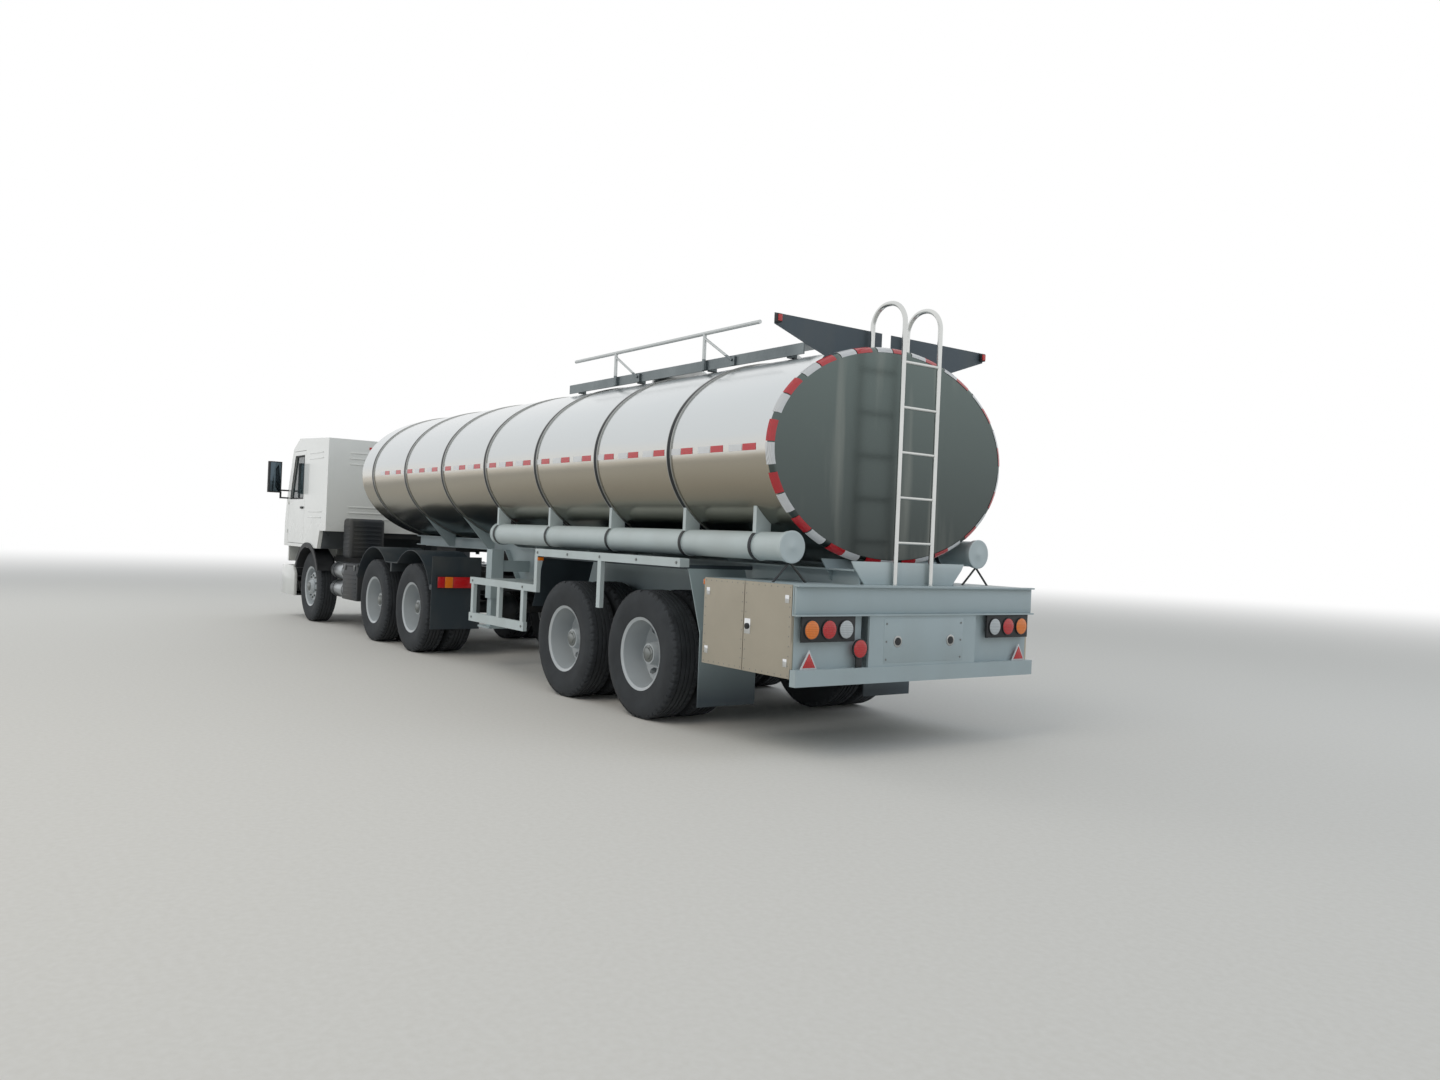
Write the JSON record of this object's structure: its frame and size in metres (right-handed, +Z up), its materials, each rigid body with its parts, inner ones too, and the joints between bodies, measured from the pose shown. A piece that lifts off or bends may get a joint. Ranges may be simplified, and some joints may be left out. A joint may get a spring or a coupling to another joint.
{
  "type": "articulated tanker truck",
  "caption": "Road tractor with a sleeper cab hinged at its kingpin to a semi-trailer that carries an oval stainless tank, a rear ladder and side tubes.",
  "frame": {"origin": "on the ground under the middle of the vehicle's length and width, centre of the bottom of the bounding box", "axes": "+X forward along the vehicle, +Y to its left, +Z up"},
  "size_m": [13.15, 3.08, 3.369],
  "materials": {
    "clad": "polished stainless cladding",
    "band": "dark polished band",
    "fitting_steel": "brushed stainless",
    "trailer_paint": "satin pale blue-grey paint",
    "slate_sheet": "satin slate paint",
    "cabinet_steel": "brushed stainless sheet",
    "chassis_black": "satin black chassis paint",
    "engine_iron": "painted casting",
    "tank_aluminium": "mill-finished aluminium",
    "lamp_plastic": "moulded lens",
    "cab_white": "gloss white",
    "glass": "tinted clear",
    "trim_black": "textured black",
    "interior": "woven",
    "tyre": "matt rubber",
    "rim": "silver paint"
  },
  "bodies": {
    "trailer": {"tank_shell": "clad", "tank_bands": "band", "tank_fittings": "fitting_steel", "walkway": "trailer_paint", "splash_plate": "slate_sheet", "rear_ladder": "fitting_steel", "trailer_frame": "trailer_paint", "coupler_plate": "trailer_paint", "rear_beam": "trailer_paint", "tail_lamps": "lamp_plastic", "hose_tubes": "trailer_paint", "cabinets": "cabinet_steel", "mudguards": "slate_sheet", "side_guards": "trailer_paint", "landing_gear": "trailer_paint", "trailer_axles": "chassis_black"},
    "manhole_lid": {"manhole_lid": "fitting_steel"},
    "cabinet_door_left_rear": {"cabinet_door_left_rear": "cabinet_steel"},
    "cabinet_door_left_front": {"cabinet_door_left_front": "cabinet_steel"},
    "cabinet_door_right": {"cabinet_door_right": "cabinet_steel"},
    "tractor": {"tractor_frame": "chassis_black", "fifth_wheel": "chassis_black", "drive_axles": "chassis_black", "front_axle": "chassis_black", "engine": "engine_iron", "fuel_tank": "tank_aluminium", "side_boxes": "chassis_black", "tractor_fenders": "slate_sheet", "tractor_lamps": "lamp_plastic", "front_bumper": "cab_white"},
    "cab": {"cab_shell": "cab_white", "windscreen": "glass", "cab_interior": "interior", "mirrors": "trim_black"},
    "cab_door_left": {"cab_door_left": "cab_white", "door_glass_left": "glass"},
    "knuckle_left": {"knuckle_left": "chassis_black"},
    "wheel_trailer_rear_left": {"tyre_trailer_rear_left": "tyre", "rim_trailer_rear_left": "rim"},
    "wheel_trailer_front_left": {"tyre_trailer_front_left": "tyre", "rim_trailer_front_left": "rim"},
    "wheel_drive_rear_left": {"tyre_drive_rear_left": "tyre", "rim_drive_rear_left": "rim"},
    "wheel_drive_front_left": {"tyre_drive_front_left": "tyre", "rim_drive_front_left": "rim"},
    "wheel_steer_left": {"tyre_steer_left": "tyre", "rim_steer_left": "rim"},
    "cab_door_right": {"cab_door_right": "cab_white", "door_glass_right": "glass"},
    "knuckle_right": {"knuckle_right": "chassis_black"},
    "wheel_trailer_rear_right": {"tyre_trailer_rear_right": "tyre", "rim_trailer_rear_right": "rim"},
    "wheel_trailer_front_right": {"tyre_trailer_front_right": "tyre", "rim_trailer_front_right": "rim"},
    "wheel_drive_rear_right": {"tyre_drive_rear_right": "tyre", "rim_drive_rear_right": "rim"},
    "wheel_drive_front_right": {"tyre_drive_front_right": "tyre", "rim_drive_front_right": "rim"},
    "wheel_steer_right": {"tyre_steer_right": "tyre", "rim_steer_right": "rim"}
  },
  "joints": [
    {"name": "kingpin", "type": "hinge", "parent": "trailer", "child": "tractor", "pos_m": [1.575, 0, 1.265], "axis": [0, 0, 1], "range_deg": [-90, 90]},
    {"name": "cab_tilt", "type": "hinge", "parent": "tractor", "child": "cab", "pos_m": [6.405, 0, 0.93], "axis": [0, 1, 0], "range_deg": [0, 55]},
    {"name": "manhole_lid_hinge", "type": "hinge", "parent": "trailer", "child": "manhole_lid", "pos_m": [-3.413, 0, 3.125], "axis": [0, -1, 0], "range_deg": [0, 100]},
    {"name": "cabinet_left_rear_hinge", "type": "hinge", "parent": "trailer", "child": "cabinet_door_left_rear", "pos_m": [-6.5087, 1.25, 0.9], "axis": [0, 0, 1], "range_deg": [0, 100]},
    {"name": "cabinet_left_front_hinge", "type": "hinge", "parent": "trailer", "child": "cabinet_door_left_front", "pos_m": [-5.475, 1.25, 0.9], "axis": [0, 0, -1], "range_deg": [0, 100]},
    {"name": "cabinet_right_hinge", "type": "hinge", "parent": "trailer", "child": "cabinet_door_right", "pos_m": [-5.475, -1.25, 0.9], "axis": [0, 0, 1], "range_deg": [0, 100]},
    {"name": "cab_door_left_hinge", "type": "hinge", "parent": "cab", "child": "cab_door_left", "pos_m": [6.319, 1.22, 1.9], "axis": [0, 0, -1], "range_deg": [0, 70]},
    {"name": "steer_left", "type": "hinge", "parent": "tractor", "child": "knuckle_left", "pos_m": [5.165, 0.88, 0.535], "axis": [0, 0, 1], "range_deg": [-38, 38]},
    {"name": "trailer_rear_left_spin", "type": "hinge", "parent": "trailer", "child": "wheel_trailer_rear_left", "pos_m": [-4.529, 0.92, 0.535], "axis": [0, 1, 0], "continuous": true},
    {"name": "trailer_front_left_spin", "type": "hinge", "parent": "trailer", "child": "wheel_trailer_front_left", "pos_m": [-3.202, 0.92, 0.535], "axis": [0, 1, 0], "continuous": true},
    {"name": "drive_rear_left_spin", "type": "hinge", "parent": "tractor", "child": "wheel_drive_rear_left", "pos_m": [0.715, 0.92, 0.535], "axis": [0, 1, 0], "continuous": true},
    {"name": "drive_front_left_spin", "type": "hinge", "parent": "tractor", "child": "wheel_drive_front_left", "pos_m": [2.065, 0.92, 0.535], "axis": [0, 1, 0], "continuous": true},
    {"name": "steer_left_spin", "type": "hinge", "parent": "knuckle_left", "child": "wheel_steer_left", "pos_m": [5.165, 0.92, 0.535], "axis": [0, 1, 0], "continuous": true},
    {"name": "cab_door_right_hinge", "type": "hinge", "parent": "cab", "child": "cab_door_right", "pos_m": [6.319, -1.22, 1.9], "axis": [0, 0, 1], "range_deg": [0, 70]},
    {"name": "steer_right", "type": "hinge", "parent": "tractor", "child": "knuckle_right", "pos_m": [5.165, -0.88, 0.535], "axis": [0, 0, 1], "range_deg": [-38, 38]},
    {"name": "trailer_rear_right_spin", "type": "hinge", "parent": "trailer", "child": "wheel_trailer_rear_right", "pos_m": [-4.529, -0.92, 0.535], "axis": [0, 1, 0], "continuous": true},
    {"name": "trailer_front_right_spin", "type": "hinge", "parent": "trailer", "child": "wheel_trailer_front_right", "pos_m": [-3.202, -0.92, 0.535], "axis": [0, 1, 0], "continuous": true},
    {"name": "drive_rear_right_spin", "type": "hinge", "parent": "tractor", "child": "wheel_drive_rear_right", "pos_m": [0.715, -0.92, 0.535], "axis": [0, 1, 0], "continuous": true},
    {"name": "drive_front_right_spin", "type": "hinge", "parent": "tractor", "child": "wheel_drive_front_right", "pos_m": [2.065, -0.92, 0.535], "axis": [0, 1, 0], "continuous": true},
    {"name": "steer_right_spin", "type": "hinge", "parent": "knuckle_right", "child": "wheel_steer_right", "pos_m": [5.165, -0.92, 0.535], "axis": [0, 1, 0], "continuous": true}
  ],
  "couplings": [
    {"joint": "steer_right", "follows": "steer_left", "ratio": 1}
  ]
}
